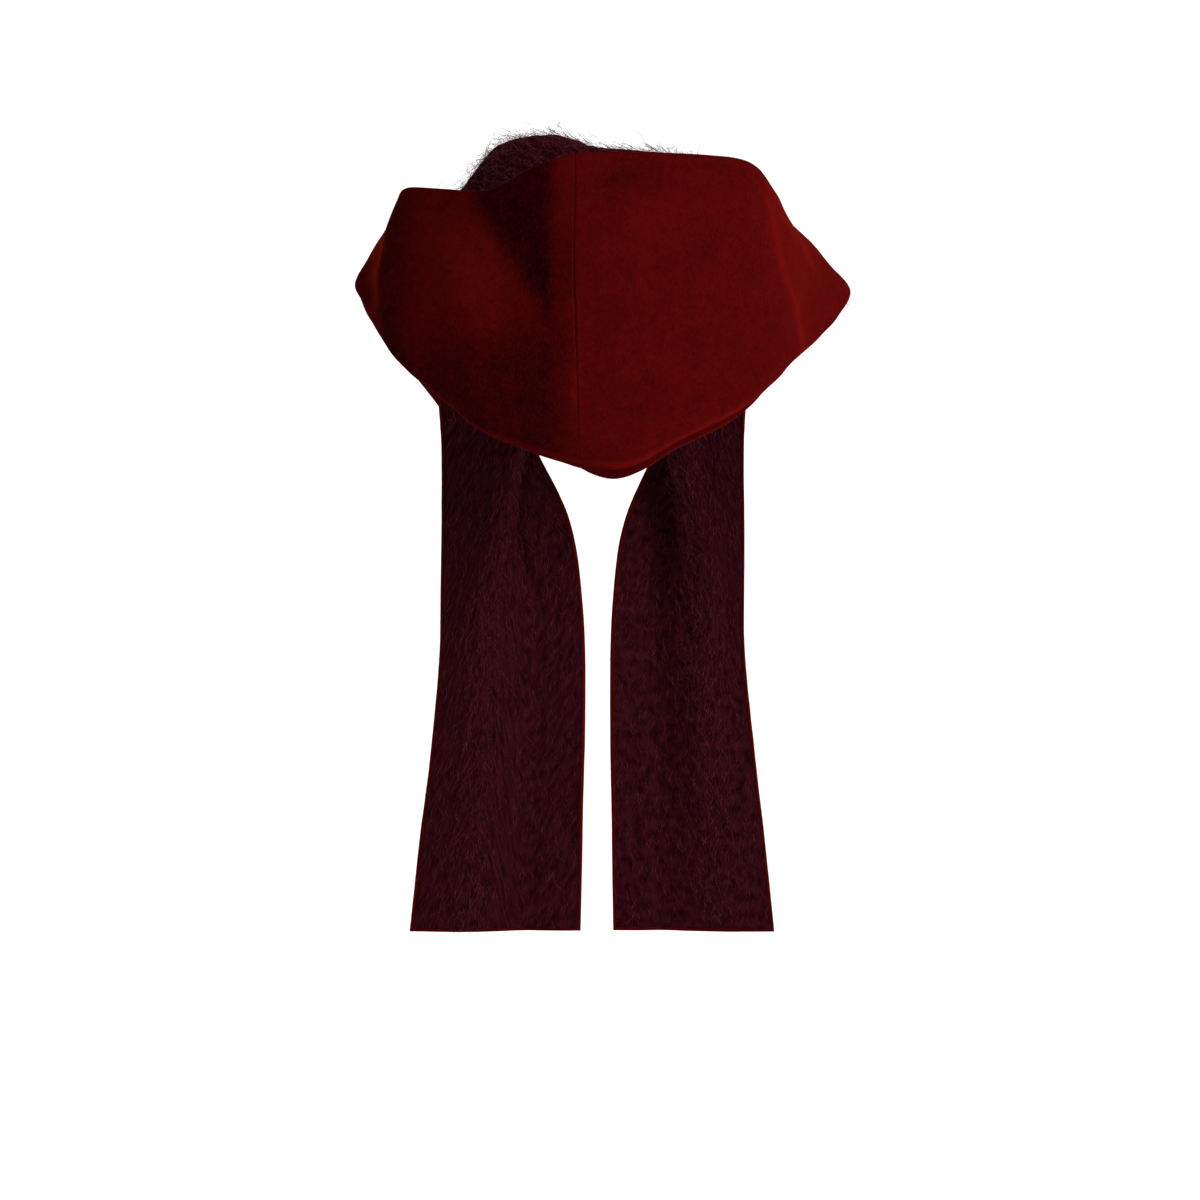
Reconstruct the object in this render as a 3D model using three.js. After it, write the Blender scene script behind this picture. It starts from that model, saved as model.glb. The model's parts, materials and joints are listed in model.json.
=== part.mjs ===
// Hooded scarf in velvet with a mohair lining, its hood worn down.
//
// Millimetres, +Z up, front towards -Y, the wearer's left towards +X. The origin is the centre of the
// neck opening, level with the neckline. The cloth is one strip folded twice round the neck: the neck
// strip rises from its hem to the neck roll, the inner layer goes down from there to the bottom fold of
// the hood's pouch, and the outer layer comes up again to the free face edge. In front both folds open
// and the strip hangs down as a plain scarf end on each side.

import * as THREE from "three";

// Driving sizes of the hood
const HALF_SPAN = 185; // centre line to a shoulder corner
const BACK_REACH = 150; // neck centre back to the face edge
const HOOD_DROP = 208; // neckline down to the lowest point of the bottom fold
const NECK_RADIUS = 57; // free radius of the neck opening
const ROLL_RISE = 46; // neckline up to the highest point of the neck roll

// Driving sizes of the scarf ends
const CHEST_REACH = 132; // neck centre forward to the hanging ends
const CHEST_DROP = 235; // neckline down to where the two ends meet in a V
const END_LENGTH = 325; // from the V down to the end hems
const END_SPREAD = 148; // centre line to an end's outer edge at its hem
const RIGHT_TUCK = 0.93; // the right end hangs this much closer to the centre line

// Cloth
const VELVET_WALL = 1.5;
const MOHAIR_WALL = 3;
const CLOTH_GAP = 0.3; // between velvet and lining, and across each seam
const ROLL_HALF = 7; // half the thickness of the neck roll, on the face between the two cloths
const FOLD_HALF = 6; // half the thickness of the bottom fold

const VELVET = { color: 0x6e1208, roughness: 0.85, metalness: 0 };
const MOHAIR = { color: 0x35101a, roughness: 1, metalness: 0 };

// The neck roll lies round the neck with the lining's thickness between.
const ROLL_RADIUS = NECK_RADIUS + CLOTH_GAP / 2 + MOHAIR_WALL + ROLL_HALF;

// Units of the section tables, one triple of across, back and up for each guide.
const HOOD_UNIT = [HALF_SPAN, BACK_REACH, HOOD_DROP];
const ROLL_UNIT = [ROLL_RADIUS, ROLL_RADIUS, ROLL_RISE];
const CHEST_UNIT = [HALF_SPAN, CHEST_REACH, HOOD_DROP];
const END_UNIT = [END_SPREAD, CHEST_REACH, END_LENGTH];

// Sections of the hood behind the shoulders. Each guide is [across, back, up] as shares of its units, and
// pile is the direction in which the layers lie on each other. neck, inner and outer are how far each
// layer bows that way between its ends, as shares of HOOD_DROP, and lip is how far the crease of the
// bottom fold stands above its lowest point, the same way.
const SEAM_SECTION = {
  hem: [0.027, 0.46, -0.135], roll: [0.06, 1.04, 0.66], fold: [0.065, 0.82, -0.966],
  edge: [0.088, 1.0, 0.088], pile: [0.05, 1, 0], neck: 0, inner: 0.03, outer: 0.1, lip: 0.015,
};
const LEFT_BACK = [
  { hem: [0.15, 0.44, -0.14], roll: [0.42, 0.98, 0.83], fold: [0.26, 0.813, -0.904],
    edge: [0.238, 0.993, 0.048], pile: [0.25, 1, 0], neck: 0, inner: 0.03, outer: 0.075, lip: 0.005 },
  { hem: [0.31, 0.367, -0.159], roll: [0.745, 0.715, 0.9], fold: [0.476, 0.76, -0.808],
    edge: [0.443, 0.907, -0.019], pile: [0.5, 0.85, 0.05], neck: -0.01, inner: 0.04, outer: 0.06, lip: 0 },
  { hem: [0.454, 0.267, -0.183], roll: [0.925, 0.387, 0.88], fold: [0.63, 0.653, -0.69],
    edge: [0.633, 0.747, 0.002], pile: [0.7, 0.65, 0.2], neck: -0.02, inner: 0.04, outer: 0.06, lip: 0 },
  { hem: [0.584, 0.16, -0.212], roll: [1.0, 0.12, 0.84], fold: [0.78, 0.507, -0.57],
    edge: [0.77, 0.533, 0.015], pile: [0.78, 0.4, 0.4], neck: -0.03, inner: 0.045, outer: 0.045, lip: 0 },
  { hem: [0.681, 0.053, -0.236], roll: [1.02, -0.12, 0.76], fold: [0.887, 0.293, -0.43],
    edge: [0.8, 0.28, -0.03], pile: [0.75, 0.15, 0.6], neck: -0.04, inner: 0.035, outer: 0.025, lip: 0 },
  { hem: [0.757, -0.08, -0.274], roll: [1.01, -0.36, 0.6], fold: [0.957, 0.053, -0.313],
    edge: [0.795, 0.053, -0.053], pile: [0.7, -0.1, 0.7], neck: -0.04, inner: 0.02, outer: 0.015, lip: 0 },
];
const RIGHT_BACK = [
  { hem: [0.119, 0.44, -0.144], roll: [0.36, 0.99, 0.6], fold: [0.086, 0.827, -1.0],
    edge: [0.173, 1.0, 0.096], pile: [0.1, 1, 0], neck: 0, inner: 0.03, outer: 0.1, lip: 0.03 },
  { hem: [0.281, 0.387, -0.154], roll: [0.715, 0.75, 0.61], fold: [0.324, 0.8, -0.894],
    edge: [0.422, 0.94, 0.089], pile: [0.4, 0.9, 0], neck: -0.01, inner: 0.04, outer: 0.09, lip: 0.03 },
  { hem: [0.443, 0.28, -0.183], roll: [0.925, 0.42, 0.57], fold: [0.562, 0.693, -0.76],
    edge: [0.584, 0.827, 0.067], pile: [0.65, 0.7, 0.15], neck: -0.02, inner: 0.04, outer: 0.085, lip: 0.02 },
  { hem: [0.584, 0.16, -0.212], roll: [1.01, 0.12, 0.52], fold: [0.735, 0.507, -0.6],
    edge: [0.692, 0.533, -0.029], pile: [0.78, 0.4, 0.4], neck: -0.03, inner: 0.04, outer: 0.06, lip: 0 },
  { hem: [0.692, 0.04, -0.24], roll: [1.04, -0.12, 0.48], fold: [0.892, 0.293, -0.467],
    edge: [0.735, 0.28, -0.072], pile: [0.75, 0.15, 0.6], neck: -0.04, inner: 0.04, outer: 0.03, lip: 0 },
  { hem: [0.768, -0.093, -0.279], roll: [1.01, -0.36, 0.39], fold: [0.995, 0.033, -0.332],
    edge: [0.768, 0.053, -0.091], pile: [0.7, -0.1, 0.7], neck: -0.05, inner: 0.02, outer: 0.02, lip: 0 },
];

// Sections from the shoulders down to the collarbone, the same on both sides.
const CHEST = [
  { hem: [0.757, -0.288, -0.365], roll: [0.351, -0.318, 0.087], fold: [0.916, -0.242, -0.409],
    edge: [0.738, -0.288, -0.12], pile: [0.6, -0.35, 0.7], neck: -0.04, inner: 0.0, outer: 0.02 },
  { hem: [0.692, -0.455, -0.548], roll: [0.314, -0.5, -0.058], fold: [0.768, -0.606, -0.558],
    edge: [0.6, -0.667, -0.298], pile: [0.4, -0.75, 0.5], neck: -0.03, inner: -0.01, outer: 0.02 },
  { hem: [0.67, -0.682, -0.793], roll: [0.27, -0.697, -0.298], fold: [0.605, -0.864, -0.76],
    edge: [0.449, -0.909, -0.51], pile: [0.2, -0.95, 0.2], neck: -0.02, inner: -0.01, outer: 0.02 },
];

// Sections of a hanging end, whose up values count from the V.
const END = [
  { hem: [0.838, -0.788, 0.03], roll: [0.378, -0.803, 0.308], fold: [0.568, -0.97, 0.092],
    edge: [0.351, -1.045, 0.185], pile: [0, -1, 0], neck: 0, inner: 0, outer: 0.01 },
  { hem: [0.842, -0.864, -0.17], roll: [0.513, -0.841, 0.03], fold: [0.446, -1.015, -0.083],
    edge: [0.162, -1.015, 0.0], pile: [-0.5, -0.85, 0], neck: 0, inner: 0, outer: 0 },
  { hem: [0.842, -0.894, -0.323], roll: [0.581, -0.864, -0.246], fold: [0.378, -1.0, -0.255],
    edge: [0.095, -0.985, -0.2], pile: [-0.9, -0.4, 0], neck: 0, inner: 0, outer: 0 },
  { hem: [0.878, -0.909, -0.523], roll: [0.622, -0.864, -0.514], fold: [0.378, -0.985, -0.514],
    edge: [0.081, -0.955, -0.508], pile: [-1, -0.2, 0], neck: 0, inner: 0, outer: 0 },
  { hem: [0.94, -0.902, -0.754], roll: [0.655, -0.856, -0.754], fold: [0.392, -0.977, -0.754],
    edge: [0.095, -0.939, -0.754], pile: [-1, -0.2, 0], neck: 0, inner: 0, outer: 0 },
  { hem: [1.0, -0.894, -1.0], roll: [0.689, -0.848, -1.0], fold: [0.405, -0.962, -1.0],
    edge: [0.108, -0.924, -1.0], pile: [-1, -0.2, 0], neck: 0, inner: 0, outer: 0 },
];

// Dents and swells of the outer layer: centre and spread across and up, as shares of HALF_SPAN and
// HOOD_DROP, depth as a share of BACK_REACH, positive where the cloth falls in, and turn in degrees from
// the across axis towards up.
const DENTS = [
  // Hollow left of the seam
  { across: 0.432, up: -0.144, wide: 0.26, tall: 0.125, depth: 0.087, turn: 52 },
  // Swell over the left shoulder blade
  { across: 0.58, up: -0.46, wide: 0.16, tall: 0.2, depth: -0.03, turn: 0 },
  // Dimple below the right face edge
  { across: -0.13, up: 0.02, wide: 0.14, tall: 0.06, depth: 0.02, turn: 0 },
  // Flat before the right ridge
  { across: -0.6, up: -0.3, wide: 0.14, tall: 0.3, depth: -0.03, turn: 0 },
];

// Steps between the points of one section, from the hem to the face edge, and between sections
const PROFILE_STEPS = [2, 1, 2, 2, 1, 2, 2, 2, 2, 2];
const SECTION_STEPS = { back: 3, chest: 2, end: 2 };

// Shares of a section's length between which the dents of the outer layer fade in
const DENT_FADE = [0.72, 0.82];

function shares([across, back, up], unit, side) {
  return new THREE.Vector3(side * across * unit[0], back * unit[1], up * unit[2]);
}

// Turns one table row into a section: four guide points and the bows of its three layers in mm.
function section(row, units, side, lift) {
  const point = (guide) => shares(row[guide], units[guide], side).add(lift);
  return {
    hem: point("hem"),
    roll: point("roll"),
    fold: point("fold"),
    edge: point("edge"),
    pile: shares(row.pile, [1, 1, 1], side).normalize(),
    bow: new THREE.Vector3(row.neck, row.inner, row.outer).multiplyScalar(HOOD_DROP),
    lip: new THREE.Vector3(0, 0, row.lip ?? 0).multiplyScalar(HOOD_DROP),
  };
}

// All sections of one side, from the first one past the seam to the end hem.
function sideSections(backRows, side) {
  const atNeckline = new THREE.Vector3();
  const atV = new THREE.Vector3(0, 0, -CHEST_DROP);
  const all = (unit) => ({ hem: unit, roll: unit, fold: unit, edge: unit });
  const tuck = side < 0 ? side * RIGHT_TUCK : side;
  return [
    ...backRows.map((row) => section(row, { ...all(HOOD_UNIT), roll: ROLL_UNIT }, side, atNeckline)),
    ...CHEST.map((row) => section(row, all(CHEST_UNIT), tuck, atNeckline)),
    ...END.map((row) => section(row, all(END_UNIT), tuck, atV)),
  ];
}

// The curve of one section through its guide points, with both folds as narrow turns.
function sectionCurve({ hem, roll, fold, edge, pile, bow, lip }) {
  const rollIn = roll.clone().addScaledVector(pile, -ROLL_HALF);
  const rollOut = roll.clone().addScaledVector(pile, ROLL_HALF);
  const foldIn = fold.clone().addScaledVector(pile, -FOLD_HALF);
  const foldOut = fold.clone().addScaledVector(pile, FOLD_HALF).add(lip);
  const bowed = (from, to, share, depth) => from.clone().lerp(to, share).addScaledVector(pile, depth);
  return new THREE.CatmullRomCurve3([
    hem,
    bowed(hem, rollIn, 1 / 2, bow.x),
    rollIn,
    rollOut,
    bowed(rollOut, foldIn, 1 / 3, bow.y),
    bowed(rollOut, foldIn, 2 / 3, bow.y),
    foldIn,
    foldOut,
    bowed(foldOut, edge, 1 / 3, bow.z),
    bowed(foldOut, edge, 2 / 3, bow.z),
    edge,
  ]);
}

// Shares of a curve's length in points, with the given number of steps from each of its points to the next.
function stepShares(steps) {
  const shareList = [0];
  steps.forEach((count, span) => {
    for (let step = 1; step <= count; step++) shareList.push((span + step / count) / steps.length);
  });
  return shareList;
}

// How far the dents push a point of the outer layer in.
function dentDepth(point) {
  return DENTS.reduce((depth, dent) => {
    const turn = THREE.MathUtils.degToRad(dent.turn);
    const across = point.x - dent.across * HALF_SPAN;
    const up = point.z - dent.up * HOOD_DROP;
    const lengthways = (across * Math.cos(turn) + up * Math.sin(turn)) / (dent.wide * HALF_SPAN);
    const sideways = (up * Math.cos(turn) - across * Math.sin(turn)) / (dent.tall * HOOD_DROP);
    return depth + dent.depth * BACK_REACH * Math.exp(-(lengthways ** 2 + sideways ** 2) / 2);
  }, 0);
}

// The face between velvet and lining as a grid: one line of points for each station, hem first.
const left = sideSections(LEFT_BACK, 1);
const right = sideSections(RIGHT_BACK, -1);
const seam = section(
  SEAM_SECTION,
  { hem: HOOD_UNIT, roll: ROLL_UNIT, fold: HOOD_UNIT, edge: HOOD_UNIT },
  1,
  new THREE.Vector3(),
);
const sections = [...right.reverse(), seam, ...left];
const sideSteps = [
  ...Array(LEFT_BACK.length).fill(SECTION_STEPS.back),
  ...Array(CHEST.length).fill(SECTION_STEPS.chest),
  ...Array(END.length).fill(SECTION_STEPS.end),
];
const stationShares = stepShares([...sideSteps.slice().reverse(), ...sideSteps]);
const profileShares = stepShares(PROFILE_STEPS);
const outerLayer = profileShares.map((share) => THREE.MathUtils.smoothstep(share, ...DENT_FADE));

const guides = {};
for (const name of ["hem", "roll", "fold", "edge", "pile", "bow", "lip"]) {
  guides[name] = new THREE.CatmullRomCurve3(sections.map((each) => each[name]));
}

const grid = stationShares.map((share) => {
  const here = {};
  for (const name of Object.keys(guides)) here[name] = guides[name].getPoint(share);
  here.pile.normalize();
  const curve = sectionCurve(here);
  return profileShares.map((at, column) => {
    const point = curve.getPoint(at);
    return point.addScaledVector(here.pile, -outerLayer[column] * dentDepth(point));
  });
});

// Unit normals of the grid, on the velvet side.
const normals = grid.map((line, station) =>
  line.map((_, column) => {
    const before = grid[Math.max(station - 1, 0)][column];
    const after = grid[Math.min(station + 1, grid.length - 1)][column];
    const below = line[Math.max(column - 1, 0)];
    const above = line[Math.min(column + 1, line.length - 1)];
    const along = after.clone().sub(before);
    const upwards = above.clone().sub(below);
    return upwards.cross(along).normalize();
  }),
);

// A closed wall over some stations of the grid, between two depths measured from it on the velvet side.
function clothWall(first, last, from, to) {
  const positions = [];
  const indices = [];
  const columns = profileShares.length;
  const rows = last - first + 1;
  for (const depth of [from, to]) {
    for (let station = first; station <= last; station++) {
      for (let column = 0; column < columns; column++) {
        const point = grid[station][column].clone().addScaledVector(normals[station][column], depth);
        const next = grid[Math.min(station + 1, grid.length - 1)][column];
        const previous = grid[Math.max(station - 1, 0)][column];
        const along = next.clone().sub(previous).normalize();
        if (station === first && first > 0) point.addScaledVector(along, CLOTH_GAP / 2);
        if (station === last && last < grid.length - 1) point.addScaledVector(along, -CLOTH_GAP / 2);
        positions.push(point.x, point.y, point.z);
      }
    }
  }
  const at = (face, row, column) => (face * rows + row) * columns + column;
  const quad = (a, b, c, d) => indices.push(a, b, c, a, c, d);
  for (let row = 0; row < rows - 1; row++) {
    for (let column = 0; column < columns - 1; column++) {
      quad(at(0, row, column), at(0, row + 1, column), at(0, row + 1, column + 1), at(0, row, column + 1));
      quad(at(1, row, column), at(1, row, column + 1), at(1, row + 1, column + 1), at(1, row + 1, column));
    }
    quad(at(0, row, 0), at(1, row, 0), at(1, row + 1, 0), at(0, row + 1, 0));
    quad(
      at(0, row, columns - 1),
      at(0, row + 1, columns - 1),
      at(1, row + 1, columns - 1),
      at(1, row, columns - 1),
    );
  }
  for (let column = 0; column < columns - 1; column++) {
    quad(at(0, 0, column), at(0, 0, column + 1), at(1, 0, column + 1), at(1, 0, column));
    quad(
      at(0, rows - 1, column),
      at(1, rows - 1, column),
      at(1, rows - 1, column + 1),
      at(0, rows - 1, column + 1),
    );
  }
  const geometry = new THREE.BufferGeometry();
  geometry.setAttribute("position", new THREE.Float32BufferAttribute(positions, 3));
  geometry.setIndex(indices);
  geometry.computeVertexNormals();
  return geometry;
}

// Stations where one piece ends and the next begins
const steps = (list) => list.reduce((sum, count) => sum + count, 0);
const seamStation = steps(sideSteps);
const hoodStations = steps(sideSteps.slice(0, LEFT_BACK.length + CHEST.length));
const leftCollar = seamStation + hoodStations;
const rightCollar = seamStation - hoodStations;
const lastStation = grid.length - 1;

function velvet(name, first, last) {
  const geometry = clothWall(first, last, CLOTH_GAP / 2, CLOTH_GAP / 2 + VELVET_WALL);
  const mesh = new THREE.Mesh(geometry, new THREE.MeshStandardMaterial(VELVET));
  mesh.name = name;
  return mesh;
}

function lining(name, first, last) {
  const geometry = clothWall(first, last, -CLOTH_GAP / 2 - MOHAIR_WALL, -CLOTH_GAP / 2);
  const mesh = new THREE.Mesh(geometry, new THREE.MeshStandardMaterial(MOHAIR));
  mesh.name = name;
  return mesh;
}

const hoodedScarf = new THREE.Group();
hoodedScarf.add(
  velvet("hood_panel_left", seamStation, leftCollar),
  velvet("hood_panel_right", rightCollar, seamStation),
  lining("hood_lining", rightCollar, leftCollar),
  velvet("scarf_end_left", leftCollar, lastStation),
  velvet("scarf_end_right", 0, rightCollar),
  lining("scarf_lining_left", leftCollar, lastStation),
  lining("scarf_lining_right", 0, rightCollar),
);

export default hoodedScarf;
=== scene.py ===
# %% [markdown]
# # A velvet hood with a mohair lining, worn down
#
# The real thing is one long strip of cotton velvet backed with brushed mohair. It is folded twice behind
# the neck, so that the hood lies on the back as a soft pouch, and its two ends hang down in front. This
# file dresses the CAD model of it: velvet with a rolled edge, a lining with real fibres, and the seam.

import json
import math

import bpy
import numpy as np
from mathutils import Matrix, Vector

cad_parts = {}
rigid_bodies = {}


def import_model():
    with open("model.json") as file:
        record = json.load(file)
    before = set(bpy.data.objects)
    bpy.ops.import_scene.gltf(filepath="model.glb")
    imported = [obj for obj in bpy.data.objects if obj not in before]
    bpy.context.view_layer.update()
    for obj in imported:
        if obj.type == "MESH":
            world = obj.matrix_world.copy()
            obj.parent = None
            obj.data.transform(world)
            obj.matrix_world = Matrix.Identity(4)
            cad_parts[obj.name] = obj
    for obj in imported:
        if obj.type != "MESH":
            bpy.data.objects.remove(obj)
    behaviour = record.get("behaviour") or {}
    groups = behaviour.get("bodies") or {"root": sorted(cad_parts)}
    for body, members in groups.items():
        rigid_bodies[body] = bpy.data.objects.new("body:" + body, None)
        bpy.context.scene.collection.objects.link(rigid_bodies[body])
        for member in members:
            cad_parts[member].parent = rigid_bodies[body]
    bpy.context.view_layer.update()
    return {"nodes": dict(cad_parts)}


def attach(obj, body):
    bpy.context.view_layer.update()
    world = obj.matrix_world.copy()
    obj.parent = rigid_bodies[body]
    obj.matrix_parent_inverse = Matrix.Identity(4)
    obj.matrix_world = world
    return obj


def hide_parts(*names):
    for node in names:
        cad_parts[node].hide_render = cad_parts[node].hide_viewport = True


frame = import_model()
print("CAD nodes:", ", ".join(sorted(frame["nodes"])))

# %% [markdown]
# ## Camera, light and floor
#
# The hood is seen straight from behind, level with the middle of the hanging ends. A long lens from over
# two metres keeps the outline as flat as a product photograph's. The camera comes first, because every
# later choice is judged through it.

# %% Camera
CAMERA_PLACE = (-0.0015, 2.3, -0.297)
FRAME_HALF = 0.453  # metres from the middle of the picture to its side, at the neck's distance

camera_data = bpy.data.cameras.new("camera")
camera_data.sensor_width = 36
camera_data.lens = camera_data.sensor_width / 2 * CAMERA_PLACE[1] / FRAME_HALF
camera = bpy.data.objects.new("camera", camera_data)
camera.location = CAMERA_PLACE
camera.rotation_euler = (math.radians(90), 0, math.radians(180))
bpy.context.scene.collection.objects.link(camera)
bpy.context.scene.camera = camera
print("lens", round(camera_data.lens, 1), "mm")

# %% [markdown]
# ## Colours and nodes
#
# Blender's shaders want linear light, but a maker reads colours as sRGB hex. One function turns one into
# the other. A second one adds any node with its settings and links, so that a material reads as a recipe.


# %% Colour and node helpers
def colour(hex_code):
    """An sRGB hex colour as linear red, green, blue and alpha."""
    parts = [int(hex_code[i : i + 2], 16) / 255 for i in (1, 3, 5)]
    linear = [c / 12.92 if c <= 0.04045 else ((c + 0.055) / 1.055) ** 2.4 for c in parts]
    return (*linear, 1)


def add_node(tree, kind, settings=None, **inputs):
    """Adds a node. An input is a plain value, or a socket to link from; _ in its name stands for a space."""
    node = tree.nodes.new(kind)
    for name, value in (settings or {}).items():
        setattr(node, name, value)
    for name, value in inputs.items():
        name = name.replace("_", " ")
        socket = node.inputs[int(name)] if name.isdigit() else node.inputs[name]
        if isinstance(value, bpy.types.NodeSocket):
            tree.links.new(value, socket)
        else:
            socket.default_value = value
    return node


# %% [markdown]
# ## The cloth's form
#
# Every piece of this object lies on one folded face: a hem under the neck strip, a roll round the neck,
# the bottom fold of the pouch and the free face edge. Modelling it by hand would hide that rule, so the
# face is made from a short table instead, one row for each section across the cloth, with smooth curves
# through the rows. The same numbers shaped the CAD solids, so both stay in the same place.

# %% Section tables
HALF_SPAN, BACK_REACH, HOOD_DROP = 185, 150, 208
ROLL_RADIUS, ROLL_RISE = 67.15, 46
CHEST_REACH, CHEST_DROP = 132, 235
END_SPREAD, END_LENGTH = 148, 325
RIGHT_TUCK = 0.93
ROLL_HALF, FOLD_HALF = 7, 6
VELVET_WALL, MOHAIR_WALL, CLOTH_GAP = 1.5, 3.0, 0.3

HOOD_UNIT = (HALF_SPAN, BACK_REACH, HOOD_DROP)
ROLL_UNIT = (ROLL_RADIUS, ROLL_RADIUS, ROLL_RISE)
CHEST_UNIT = (HALF_SPAN, CHEST_REACH, HOOD_DROP)
END_UNIT = (END_SPREAD, CHEST_REACH, END_LENGTH)

# Each row: hem, roll, fold, edge (across, back, up in shares of the units), pile (the direction in which
# the layers lie on each other), the bows of neck strip, inner and outer layer, and the fold's lip.
SEAM = (
    (0.027, 0.46, -0.135), (0.06, 1.04, 0.66), (0.065, 0.82, -0.966), (0.088, 1.0, 0.088),
    (0.05, 1, 0), (0, 0.03, 0.1, 0.015),
)
LEFT_BACK = (
    ((0.15, 0.44, -0.14), (0.42, 0.98, 0.83), (0.26, 0.813, -0.904), (0.238, 0.993, 0.048),
     (0.25, 1, 0), (0, 0.03, 0.075, 0.005)),
    ((0.31, 0.367, -0.159), (0.745, 0.715, 0.9), (0.476, 0.76, -0.808), (0.443, 0.907, -0.019),
     (0.5, 0.85, 0.05), (-0.01, 0.04, 0.06, 0)),
    ((0.454, 0.267, -0.183), (0.925, 0.387, 0.88), (0.63, 0.653, -0.69), (0.633, 0.747, 0.002),
     (0.7, 0.65, 0.2), (-0.02, 0.04, 0.06, 0)),
    ((0.584, 0.16, -0.212), (1.0, 0.12, 0.84), (0.78, 0.507, -0.57), (0.77, 0.533, 0.015),
     (0.78, 0.4, 0.4), (-0.03, 0.045, 0.045, 0)),
    ((0.681, 0.053, -0.236), (1.02, -0.12, 0.76), (0.887, 0.293, -0.43), (0.8, 0.28, -0.03),
     (0.75, 0.15, 0.6), (-0.04, 0.035, 0.025, 0)),
    ((0.757, -0.08, -0.274), (1.01, -0.36, 0.6), (0.957, 0.053, -0.313), (0.795, 0.053, -0.053),
     (0.7, -0.1, 0.7), (-0.04, 0.02, 0.015, 0)),
)
RIGHT_BACK = (
    ((0.119, 0.44, -0.144), (0.36, 0.99, 0.6), (0.086, 0.827, -1.0), (0.173, 1.0, 0.096),
     (0.1, 1, 0), (0, 0.03, 0.1, 0.03)),
    ((0.281, 0.387, -0.154), (0.715, 0.75, 0.61), (0.324, 0.8, -0.894), (0.422, 0.94, 0.089),
     (0.4, 0.9, 0), (-0.01, 0.04, 0.09, 0.03)),
    ((0.443, 0.28, -0.183), (0.925, 0.42, 0.57), (0.562, 0.693, -0.76), (0.584, 0.827, 0.067),
     (0.65, 0.7, 0.15), (-0.02, 0.04, 0.085, 0.02)),
    ((0.584, 0.16, -0.212), (1.01, 0.12, 0.52), (0.735, 0.507, -0.6), (0.692, 0.533, -0.029),
     (0.78, 0.4, 0.4), (-0.03, 0.04, 0.06, 0)),
    ((0.692, 0.04, -0.24), (1.04, -0.12, 0.48), (0.892, 0.293, -0.467), (0.735, 0.28, -0.072),
     (0.75, 0.15, 0.6), (-0.04, 0.04, 0.03, 0)),
    ((0.768, -0.093, -0.279), (1.01, -0.36, 0.39), (0.995, 0.033, -0.332), (0.768, 0.053, -0.091),
     (0.7, -0.1, 0.7), (-0.05, 0.02, 0.02, 0)),
)
CHEST = (
    ((0.757, -0.288, -0.365), (0.351, -0.318, 0.087), (0.916, -0.242, -0.409), (0.738, -0.288, -0.12),
     (0.6, -0.35, 0.7), (-0.04, 0.0, 0.02, 0)),
    ((0.692, -0.455, -0.548), (0.314, -0.5, -0.058), (0.768, -0.606, -0.558), (0.6, -0.667, -0.298),
     (0.4, -0.75, 0.5), (-0.03, -0.01, 0.02, 0)),
    ((0.67, -0.682, -0.793), (0.27, -0.697, -0.298), (0.605, -0.864, -0.76), (0.449, -0.909, -0.51),
     (0.2, -0.95, 0.2), (-0.02, -0.01, 0.02, 0)),
)
END = (
    ((0.838, -0.788, 0.03), (0.378, -0.803, 0.308), (0.568, -0.97, 0.092), (0.351, -1.045, 0.185),
     (0, -1, 0), (0, 0, 0.01, 0)),
    ((0.842, -0.864, -0.17), (0.513, -0.841, 0.03), (0.446, -1.015, -0.083), (0.162, -1.015, 0.0),
     (-0.5, -0.85, 0), (0, 0, 0, 0)),
    ((0.842, -0.894, -0.323), (0.581, -0.864, -0.246), (0.378, -1.0, -0.255), (0.095, -0.985, -0.2),
     (-0.9, -0.4, 0), (0, 0, 0, 0)),
    ((0.878, -0.909, -0.523), (0.622, -0.864, -0.514), (0.378, -0.985, -0.514), (0.081, -0.955, -0.508),
     (-1, -0.2, 0), (0, 0, 0, 0)),
    ((0.94, -0.902, -0.754), (0.655, -0.856, -0.754), (0.392, -0.977, -0.754), (0.095, -0.939, -0.754),
     (-1, -0.2, 0), (0, 0, 0, 0)),
    ((1.0, -0.894, -1.0), (0.689, -0.848, -1.0), (0.405, -0.962, -1.0), (0.108, -0.924, -1.0),
     (-1, -0.2, 0), (0, 0, 0, 0)),
)

# Dents of the outer layer: centre across and up, spread along and across, depth (shares of span, drop,
# span, drop and reach) and turn in degrees.
DENTS = (
    (0.432, -0.144, 0.26, 0.125, 0.087, 52),  # hollow left of the seam
    (0.58, -0.46, 0.16, 0.2, -0.03, 0),  # swell over the left shoulder blade
    (-0.13, 0.02, 0.14, 0.06, 0.02, 0),  # dimple below the right face edge
    (-0.6, -0.3, 0.14, 0.3, -0.03, 0),  # flat before the right ridge
)


# %% From table rows to guide points
def guides(row, units, side, drop=0.0):
    """One section as eight guide vectors in mm: hem, roll, fold, edge, pile, bows and lip."""
    flip = np.array((side, 1, 1))
    points = [np.array(p) * unit * flip - (0, 0, drop) for p, unit in zip(row[:4], units)]
    pile = np.array(row[4], float) * flip
    pile /= np.linalg.norm(pile)
    neck, inner, outer, lip = row[5]
    bows = np.array((neck, inner, outer)) * HOOD_DROP
    return np.array([*points, pile, bows, (0, 0, lip * HOOD_DROP)])


def one_side(back_rows, side):
    tuck = side * (RIGHT_TUCK if side < 0 else 1)
    hood_units = (HOOD_UNIT, ROLL_UNIT, HOOD_UNIT, HOOD_UNIT)
    rows = [guides(row, hood_units, side) for row in back_rows]
    rows += [guides(row, (CHEST_UNIT,) * 4, tuck) for row in CHEST]
    rows += [guides(row, (END_UNIT,) * 4, tuck, CHEST_DROP) for row in END]
    return rows


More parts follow.
